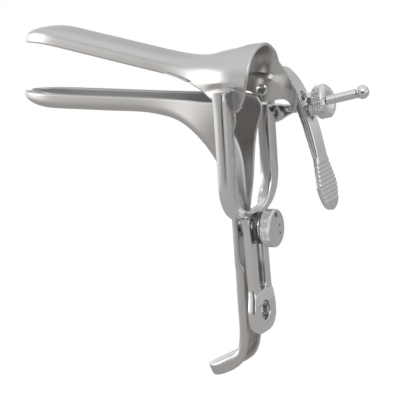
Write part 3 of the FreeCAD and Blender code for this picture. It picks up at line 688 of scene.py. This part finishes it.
def make_yoke(material):
    """Forked frame, slotted stem, neck and lug of the hinge on the far arm, as one piece."""
    shape = Shape()
    outline, radii = yoke_outline()
    middle = ARM_REAR - ARM_DEPTH / 2

    def lean(a, b, h):
        """Tilt the frame, and keep the front of its lower bar behind x = BAR_FRONT."""
        low = np.clip((-37.8 - b) / 1.5, 0, 1) * np.clip(BAR_RELIEF + 0.6 - np.abs(a), 0, 1)
        front = middle - ARM_DEPTH / 2 + low * (ARM_DEPTH / 2 - middle + BAR_FRONT)
        points = np.stack([np.maximum(middle + h, front) + 0 * a, a, b], 1)
        return turned_y(points, ARM_LEAN)

    bar = [(side * y, z) for side in (-1, 1) for y in np.arange(BAR_RELIEF - 1.4, BAR_RELIEF + 1.1, 0.4)
           for z in np.arange(-50.0, -41.0, 0.7)]
    plate(shape, outline, [], ARM_DEPTH, lean, radii, extra=bar)

    def flat(a, b, h):
        """Raise the rear face of the paddle, and cut the fine lines across its top."""
        rear = np.clip(h / STEM_DEPTH + 0.5, 0, 1) ** 4
        step = PADDLE_RAISE * np.clip((-82.0 - b) / 0.6, 0, 1)
        wave = 0.5 - 0.5 * np.cos(2 * math.pi * (b - GRIP_LINES[0]) / GRIP_PITCH)
        groove = 0.3 * wave * (b < GRIP_LINES[0]) * (b > GRIP_LINES[1]) * np.clip(8.6 - np.abs(a), 0, 1)
        return np.stack([-STEM_DEPTH / 2 + h + rear * (step - groove), a, b], 1)

    grip = [(y, z) for z in np.arange(-81.8, -86.6, -0.15) for y in np.arange(-9.4, 9.5, 0.9)]
    hole = arc((0, PADDLE_HOLE_Z), PADDLE_HOLE, 0, 352.5, 48)
    plate(shape, stem_outline(), [stem_slot(), hole], STEM_DEPTH, flat, 1.1, 0.3, grip)
    neck = np.array([(19.6, -8.0), (23.4, -8.0), (23.4, 0.5), (22.6, 2.0), (20.4, 2.0), (19.6, 0.5)])

    def upright(a, b, h):
        return np.stack([h + 0 * a, a, b], 1)

    plate(shape, neck, [], 2.6, upright, 0.4)
    lug = [(ARM_INNER, 0), (ARM_INNER, LUG_RADIUS - LUG_CHAMFER), (ARM_INNER + LUG_CHAMFER, LUG_RADIUS),
           (22.7, LUG_RADIUS), (23.0, LUG_RADIUS - 0.3), (23.0, 0)]
    turned_piece(shape, lug, along_y)
    return shape.make("yoke_body", material)


def along_y(rows):
    """Local X becomes Y: used for pins and rivets across the instrument."""
    return np.stack([rows[..., 1], rows[..., 0], rows[..., 2]], -1)


def make_lever(material):
    """Thumb lever: a plate bent along its rear profile, with a round-ended slot and a grooved grip."""
    curve = even_curve(LEVER_REAR, 400)
    run = np.concatenate([[0], np.cumsum(np.hypot(np.diff(curve[:, 0]), np.diff(curve[:, 1])))])
    total = run[-1]

    def at_height(z):
        return float(np.interp(-z, -curve[:, 1], run))

    grip_start, grip_end = at_height(-32.5), at_height(-48.5)
    pitch = (grip_end - grip_start) / 9

    def place(a, b, h):
        """Point at the length b of the profile, moved down = (1 - share) * thin + groove square to it."""
        x = np.interp(b, run, curve[:, 0])
        z = np.interp(b, run, curve[:, 1])
        tx = np.interp(b, run, np.gradient(curve[:, 0], run))
        tz = np.interp(b, run, np.gradient(curve[:, 1], run))
        size = np.hypot(tx, tz)
        thin = LEVER_DEPTH - 0.8 * np.clip((b - at_height(-20)) / 12, 0, 1)
        wave = 0.5 - 0.5 * np.cos(2 * math.pi * (b - grip_start) / pitch)
        groove = 0.45 * np.where((b > grip_start) & (b < grip_end), wave, 0)
        share = h / LEVER_DEPTH + 0.5
        down = (1 - share) * thin + groove * np.clip(share, 0, 1) ** 4
        return np.stack([x + down * tz / size, a, z - down * tx / size], 1)

    half, pad = 5.0, 8.6
    neck, wide = at_height(-30), at_height(-42)
    low = np.concatenate([
        even_curve([(half, neck), (0.55 * half + 0.45 * pad, neck + 5), (pad, wide)], 40)[1:],
        even_curve([(pad, wide), (0.86 * pad, wide + 5.4), (0.52 * pad, wide + 9.4), (0, total)], 40)[1:]])
    round_top = [(half - LEVER_SHOULDER + y, at_height(LEVER_REAR[0][1] - LEVER_SHOULDER + z))
                 for y, z in arc((0, 0), LEVER_SHOULDER, 90, 0, 30)]
    outer = np.concatenate([round_top, straight(round_top[-1], (half, neck), 50)[1:], low])
    inner = np.concatenate([straight((-half, 0.0), (-half, neck), 60), low * (-1, 1)])
    outline = np.concatenate([outer, inner[::-1][1:]])
    outline[:, 0] += ROD_Y
    slot_top, slot_low = at_height(-2.6), at_height(-15.2)
    r = 2.5
    slot = np.concatenate([arc((ROD_Y, slot_top + r), r, 180, 360, 24),
                           arc((ROD_Y, slot_low - r), r, 0, 180, 24)])
    ys = np.linspace(ROD_Y - pad, ROD_Y + pad, 19)
    coarse = np.arange(0.6, grip_start, 0.9)
    fine = np.arange(grip_start - 0.4, grip_end + 0.4, pitch / 10)
    rest = np.arange(grip_end + 0.6, total, 0.8)
    extra = np.array([(y, b) for b in np.concatenate([coarse, fine, rest]) for y in ys])
    shape = Shape()
    plate(shape, outline, [slot], LEVER_DEPTH, place, 0.7, 0.35, extra)
    return shape.make("thumb_lever_body", material)


def knurl(count, depth, start, end, helix):
    """Ripple of a knurled rim: two crossing sets of ridges, faded out near its edges."""
    def ripple(x, r, t):
        first = np.abs(np.sin(count / 2 * t + helix * x))
        second = np.abs(np.sin(count / 2 * t - helix * x))
        ridge = np.minimum(first, second)
        fade = np.clip((x - start) / 0.5, 0, 1) * np.clip((end - x) / 0.5, 0, 1)
        big = r > 0.8 * np.max(r)
        return r - depth * (1 - ridge) * fade * big
    return ripple


def make_knob(material, dark):
    """Lock knob: a knurled rim and a domed face, with dark discs on it as painted shade for two small holes
    for a pin wrench and a larger one.
    """
    face, sag = 8.55, 0.004
    profile = dense_profile([(1.8, 2.55), (1.8, 5.6), (3.1, 5.6), (3.1, 6.7), (4.2, 7.9), (7.8, 7.9),
                             (8.3, 7.3)], 0.16)
    dome = [(8.3 + 0.25 * (1 - (r / 7.3) ** 2), r) for r in np.linspace(7.3, 0.0, 16)[1:]]
    shape = Shape()
    turned_piece(shape, profile + dome, on_stud, 240, knurl(56, 0.3, start=3.6, end=8.1, helix=1.4))
    knob = shape.make("lock_knob_body", material)
    # Flat dark discs lying on the domed face: painted shade standing in for the insides of the wrench
    # holes, not cut holes
    marks = Shape()
    for y, z, size in ((2.5, 0.8, 0.6), (2.4, -2.4, 0.6), (0.0, 5.5, 1.1)):
        def spot(rows, y=y, z=z, size=size):
            return rows * np.array([1, size, size]) + np.array([-sag * (y * y + z * z), y, STUD_Z + z])
        turned_piece(marks, [(face - 0.1, 1.1), (face + 0.02, 1.0), (face + 0.03, 0)], spot, 24)
    dots = marks.make("lock_knob_hole_shade_discs", dark)
    return knob, dots


def make_nut(material):
    """Angle nut: boss, knurled rim and a conical countersink where the rod comes out."""
    back, face = 21.6, 27.2
    profile = dense_profile([(18.2, 2.05), (18.2, 4.2), (19.0, 5.0), (back, 5.0), (back, 6.4), (22.3, 7.15),
                             (25.8, 7.15), (face, 5.8), (face, 3.9), (25.4, 2.05)], 0.16)
    shape = Shape()
    turned_piece(shape, profile, on_rod, 220, knurl(50, 0.35, start=back + 0.3, end=face - 0.9, helix=1.4))
    return shape.make("angle_nut_body", material)


def make_rod(material):
    """Angle rod: flat eye, tapered neck, screw thread and the neck below the ball."""
    shape = Shape()
    r = 3.9
    left = arc((0, 0), r, 90, 270, 24)
    low = even_curve([(0, -r), (2.7, -3.75), (6.4, -2.6), (10.8, -1.7)], 14)[1:]
    top = even_curve([(10.8, 1.7), (6.4, 2.6), (2.7, 3.75), (0, r)], 14)[:-1]
    hole = np.concatenate([arc((0, 0), 1.68, 90, 270, 16), arc((1.7, 0), 1.68, -90, 90, 16)])

    def flat(a, b, h):
        return on_rod(np.stack([a, h + 0 * a, b], 1))

    plate(shape, np.concatenate([left, low, top]), [hole], 3.0, flat, 0.6, 0.3)
    turned_piece(shape, [(5.6, 0), (6.2, 1.2), (8.0, 1.75), (10.4, 2.0), (11.2, 2.0)], on_rod, 32)
    pitch, crest, groove = 0.7, 2.02, 0.36

    def thread(x, radius, t):
        wave = np.abs(((x / pitch - t / (2 * math.pi)) % 1.0) - 0.5) * 2
        return radius - groove * wave

    profile = [(x, crest) for x in np.arange(11.2, 39.9, pitch / 8)]
    turned_piece(shape, profile, on_rod, 32, thread)
    return shape.make("angle_rod_body", material)


def make_ball(material):
    """Ball that ends the rod."""
    shape = Shape()
    middle, radius = 42.0, 2.85
    t = np.radians(np.linspace(18, 180, 40))
    profile = [(middle - radius * math.cos(a), radius * math.sin(a)) for a in t]
    turned_piece(shape, [(39.2, 1.2)] + profile, on_rod, 48)
    return shape.make("rod_ball", material)


def make_rivet(side, material):
    """Hinge rivet with a low domed head inside the ear. The near one ends inside its arm."""
    shape = Shape()
    back = EAR_HALF - SHEET - 0.2
    end = ARM_OUTER if side > 0 else ARM_OUTER - PIVOT_COVER
    head = 2.4
    dome = [(back - 0.9 + 0.5 * (r / head) ** 5, r) for r in np.linspace(0, head, 16)]
    shank = [(back, head), (back, PIVOT), (end - 0.1, PIVOT), (end, PIVOT - 0.1), (end, 0)]

    def place(rows):
        turned = along_y(rows)
        turned[..., 1] *= side
        return turned

    turned_piece(shape, dome + shank, place, 40)
    return shape.make("near_pivot" if side < 0 else "far_pivot", material)


def make_swivel_pin(material):
    """Pin of the rod's eye with a low head on the outside."""
    shape = Shape()

    def place(rows):
        return along_y(rows) + np.array([ROD_PIN[0], 0, ROD_PIN[1]])

    radius, head = 1.6, 2.6
    dome = [(28.9 - 0.7 * (r / head) ** 2.4, r) for r in np.linspace(head, 0, 12)]
    turned_piece(shape, [(18.4, 0), (18.4, radius), (28.1, radius), (28.1, head)] + dome, place, 40)
    return shape.make("swivel_pin", material)


def make_stud(material):
    """Stud of the slide: head in front of the handle, shoulder and shank."""
    shape = Shape()
    radius, shoulder = 3.6, 4.4
    head = web_at(STUD_Z - radius) - 0.03
    web = web_at(STUD_Z + shoulder) + SHEET + 0.03
    dome = [(head - 0.9 + 0.7 * (r / radius) ** 2.4, r) for r in np.linspace(0, radius, 14)]
    shank = [(head, radius), (head, STUD_RADIUS), (web, STUD_RADIUS), (web, shoulder), (-3.5, shoulder),
             (-3.5, STUD_RADIUS), (7.6, STUD_RADIUS), (7.6, 0)]
    turned_piece(shape, dome + shank, on_stud, 48)
    return shape.make("slide_stud_body", material)


def make_washer(material):
    """Lock washer, a ring with soft edges, dark with painted shade from the gap between the knob and the
    stem.
    """
    shape = Shape()
    profile = [(0.1, 2.65), (0.1, 6.3), (0.4, 6.6), (1.4, 6.6), (1.7, 6.3), (1.7, 2.65)]
    turned_piece(shape, profile, on_stud, 64)
    return shape.make("lock_washer_body", material)


def new_material(name):
    """Empty node material, with its nodes and links."""
    material = bpy.data.materials.new(name)
    material.use_nodes = True
    material.node_tree.nodes.clear()
    return material, material.node_tree.nodes, material.node_tree.links


def steel(name, color, rough, streak_scale, streak_bump, uneven):
    """Polished steel: fine noise, stretched along the polish, moves the normal a little.

    The roughness goes from rough - uneven to rough + uneven with the sum of that noise and a coarse one."""
    material, nodes, links = new_material(name)
    out = nodes.new("ShaderNodeOutputMaterial")
    shader = nodes.new("ShaderNodeBsdfPrincipled")
    shader.inputs["Base Color"].default_value = (*color, 1)
    shader.inputs["Metallic"].default_value = 1.0
    coordinates = nodes.new("ShaderNodeTexCoord")
    mapping = nodes.new("ShaderNodeMapping")
    mapping.inputs["Scale"].default_value = streak_scale
    links.new(coordinates.outputs["Object"], mapping.inputs["Vector"])
    streaks = nodes.new("ShaderNodeTexNoise")
    streaks.inputs["Scale"].default_value = 1.0
    streaks.inputs["Detail"].default_value = 4.0
    links.new(mapping.outputs["Vector"], streaks.inputs["Vector"])
    cloud = nodes.new("ShaderNodeTexNoise")
    cloud.inputs["Scale"].default_value = 60.0
    cloud.inputs["Detail"].default_value = 3.0
    links.new(coordinates.outputs["Object"], cloud.inputs["Vector"])
    total = nodes.new("ShaderNodeMath")
    total.operation = "ADD"
    links.new(streaks.outputs["Fac"], total.inputs[0])
    links.new(cloud.outputs["Fac"], total.inputs[1])
    spread = nodes.new("ShaderNodeMapRange")
    spread.inputs["From Min"].default_value = 0.6
    spread.inputs["From Max"].default_value = 1.4
    spread.inputs["To Min"].default_value = rough - uneven
    spread.inputs["To Max"].default_value = rough + uneven
    links.new(total.outputs["Value"], spread.inputs["Value"])
    links.new(spread.outputs["Result"], shader.inputs["Roughness"])
    bump = nodes.new("ShaderNodeBump")
    bump.inputs["Strength"].default_value = streak_bump
    bump.inputs["Distance"].default_value = 0.00003
    links.new(streaks.outputs["Fac"], bump.inputs["Height"])
    links.new(bump.outputs["Normal"], shader.inputs["Normal"])
    links.new(shader.outputs["BSDF"], out.inputs["Surface"])
    return material


def make_world():
    """White backdrop for the camera; for reflections a sky that changes with height and from left to right.

    Light = height(z) * (1 + (side(x) * dark(d) - 1) * level), where level is 1 at the horizon and 0 from
    z = 0.6 up or down, and dark(d) falls to 0.08 in the directions d towards the camera."""
    world = bpy.data.worlds.new("studio")
    bpy.context.scene.world = world
    world.use_nodes = True
    nodes, links = world.node_tree.nodes, world.node_tree.links
    nodes.clear()

    def ramp(source, low, high, stops):
        lift = nodes.new("ShaderNodeMapRange")
        lift.inputs["From Min"].default_value = low
        lift.inputs["From Max"].default_value = high
        links.new(source, lift.inputs["Value"])
        node = nodes.new("ShaderNodeValToRGB")
        while len(node.color_ramp.elements) < len(stops):
            node.color_ramp.elements.new(1.0)
        for element, (value, color) in zip(node.color_ramp.elements, stops):
            element.position = (value - low) / (high - low)
            element.color = (*color, 1)
        links.new(lift.outputs["Result"], node.inputs["Fac"])
        return node.outputs["Color"]

    def blend(kind, factor, first, second):
        node = nodes.new("ShaderNodeMix")
        node.data_type = "RGBA"
        node.blend_type = kind
        pairs = [(node.inputs["Factor"], factor), (node.inputs[6], first), (node.inputs[7], second)]
        for socket, value in pairs:
            if isinstance(value, (int, float, tuple)):
                socket.default_value = value
            else:
                links.new(value, socket)
        return node.outputs[2]

    coordinates = nodes.new("ShaderNodeTexCoord")
    split = nodes.new("ShaderNodeSeparateXYZ")
    links.new(coordinates.outputs["Generated"], split.inputs["Vector"])
    height = ramp(split.outputs["Z"], -1, 1, [
        (-1, (0.25, 0.24, 0.23)), (-0.3, (0.44, 0.425, 0.41)), (-0.05, (0.72, 0.71, 0.7)),
        (0.06, (1, 1, 1)), (0.18, (0.95, 0.97, 1)), (0.34, (0.5, 0.51, 0.52)), (1, (0.55, 0.57, 0.6))])
    side = ramp(split.outputs["X"], -1, 1, [
        (-1, (1, 1, 1)), (-0.66, (1, 1, 1)), (-0.45, (0.5, 0.5, 0.5)), (0.0, (0.32, 0.32, 0.32)),
        (0.5, (0.44, 0.44, 0.44)), (1, (0.7, 0.7, 0.7))])
    level = ramp(split.outputs["Z"], -0.6, 0.6, [
        (-0.6, (0, 0, 0)), (-0.2, (1, 1, 1)), (0.2, (1, 1, 1)), (0.6, (0, 0, 0))])
    aim = nodes.new("ShaderNodeVectorMath")
    aim.operation = "DOT_PRODUCT"
    aim.inputs[1].default_value = Vector(CAMERA_PLACE).normalized()
    links.new(coordinates.outputs["Generated"], aim.inputs[0])
    dark = ramp(aim.outputs["Value"], 0.8, 1.0, [
        (0.8, (1, 1, 1)), (0.88, (1, 1, 1)), (0.96, (0.08, 0.08, 0.08))])
    around = blend("MULTIPLY", 1.0, side, dark)
    color = blend("MULTIPLY", level, height, around)
    light = nodes.new("ShaderNodeBackground")
    light.inputs["Strength"].default_value = 1.5
    links.new(color, light.inputs["Color"])
    white = nodes.new("ShaderNodeBackground")
    white.inputs["Color"].default_value = (1, 1, 1, 1)
    white.inputs["Strength"].default_value = 1.0
    path = nodes.new("ShaderNodeLightPath")
    mix = nodes.new("ShaderNodeMixShader")
    links.new(path.outputs["Is Camera Ray"], mix.inputs["Fac"])
    links.new(light.outputs["Background"], mix.inputs[1])
    links.new(white.outputs["Background"], mix.inputs[2])
    out = nodes.new("ShaderNodeOutputWorld")
    links.new(mix.outputs["Shader"], out.inputs["Surface"])


def soft_lamp(name, place, target, size, power):
    """Square area lamp that looks at a target; its size in metres and its power in watts."""
    data = bpy.data.lights.new(name, "AREA")
    data.shape = "SQUARE"
    data.size = size
    data.energy = power
    lamp = bpy.data.objects.new(name, data)
    bpy.context.scene.collection.objects.link(lamp)
    lamp.location = place
    aim = Vector(target) - Vector(place)
    lamp.rotation_euler = aim.to_track_quat("-Z", "Y").to_euler()


def make_floor():
    """Pale floor far below, seen as white by the camera, that only returns soft light."""
    shape = Shape()
    r, z = FLOOR_HALF, FLOOR_Z
    shape.add([(-r, -r, z), (r, -r, z), (r, r, z), (-r, r, z)], [(0, 1, 2, 3)])
    material, nodes, links = new_material("floor_white")
    out = nodes.new("ShaderNodeOutputMaterial")
    path = nodes.new("ShaderNodeLightPath")
    glow = nodes.new("ShaderNodeEmission")
    glow.inputs["Color"].default_value = (1, 1, 1, 1)
    matte = nodes.new("ShaderNodeBsdfDiffuse")
    matte.inputs["Color"].default_value = (0.5, 0.48, 0.46, 1)
    mix = nodes.new("ShaderNodeMixShader")
    links.new(path.outputs["Is Camera Ray"], mix.inputs["Fac"])
    links.new(matte.outputs["BSDF"], mix.inputs[1])
    links.new(glow.outputs["Emission"], mix.inputs[2])
    links.new(mix.outputs["Shader"], out.inputs["Surface"])
    floor = shape.make("floor", material)


def make_camera():
    """Camera whose right, up and back axes come from the fitted view."""
    data = bpy.data.cameras.new("camera")
    data.lens = CAMERA_LENS
    data.sensor_width = 36
    data.clip_start = 0.05
    data.clip_end = 20
    camera = bpy.data.objects.new("camera", data)
    bpy.context.scene.collection.objects.link(camera)
    right = Vector(CAMERA_RIGHT).normalized()
    up = Vector(CAMERA_UP).normalized()
    back = right.cross(up).normalized()
    up = back.cross(right)
    turn = Matrix((right, up, back)).transposed().to_4x4()
    place = Matrix.Translation(Vector(CAMERA_PLACE) * MM)
    camera.matrix_world = place @ turn
    bpy.context.scene.camera = camera


def main():
    for obj in list(bpy.data.objects):
        bpy.data.objects.remove(obj)
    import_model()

    blade = steel("blade_steel", (0.64, 0.625, 0.61), 0.32, (60, 700, 700), 0.1, 0.04)
    frame_steel = steel("frame_steel", (0.8, 0.8, 0.8), 0.12, (400, 400, 60), 0.06, 0.03)
    bright = steel("bright_steel", (0.78, 0.78, 0.78), 0.12, (300, 300, 300), 0.1, 0.03)
    # Near-black steel as painted shade: used for the washer in the shaded gap behind the knob and for the
    # insides of the knob's holes
    dark = steel("dark_steel", (0.16, 0.16, 0.165), 0.35, (300, 300, 300), 0.1, 0.05)

    def settle(obj, body, nodes):
        """Tie an object to its body, and hide the nodes that it stands for."""
        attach(obj, body)
        if nodes:
            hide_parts(*nodes)

    upper = Shape()
    pressed_sheet(upper, turned_y(upper_blade_rows(), UPPER_TILT), SHEET, -1)
    settle(upper.make("upper_blade_body", blade), "upper_valve", ["upper_blade"])
    lower = Shape()
    pressed_sheet(lower, lower_blade_rows(), SHEET, 1)
    settle(lower.make("lower_blade_body", blade), "handle", ["lower_blade"])
    settle(make_yoke(frame_steel), "slide_yoke", ["yoke"])
    settle(make_lever(frame_steel), "upper_valve", ["thumb_lever"])
    knob, dots = make_knob(bright, dark)
    settle(knob, "knob", ["lock_knob"])
    settle(dots, "knob", [])
    settle(make_nut(bright), "nut", ["angle_nut"])
    settle(make_rod(bright), "rod", ["angle_rod"])
    settle(make_ball(bright), "rod", ["rod_ball_end"])
    settle(make_rivet(-1, bright), "slide_yoke", ["near_pivot_rivet"])
    settle(make_rivet(1, bright), "slide_yoke", ["far_pivot_rivet"])
    settle(make_swivel_pin(bright), "slide_yoke", ["rod_swivel_pin"])
    settle(make_stud(bright), "handle", ["slide_stud"])
    settle(make_washer(dark), "handle", ["lock_washer"])

    make_floor()
    make_world()
    soft_lamp("key", (0.5, -0.9, 0.9), (0, 0, -0.04), 0.9, 3)
    soft_lamp("left", (-1.2, -0.5, 0.3), (0, 0, -0.04), 0.8, 3)
    make_camera()
    scene = bpy.context.scene
    scene.view_settings.view_transform = "Standard"
    scene.view_settings.look = "None"


main()
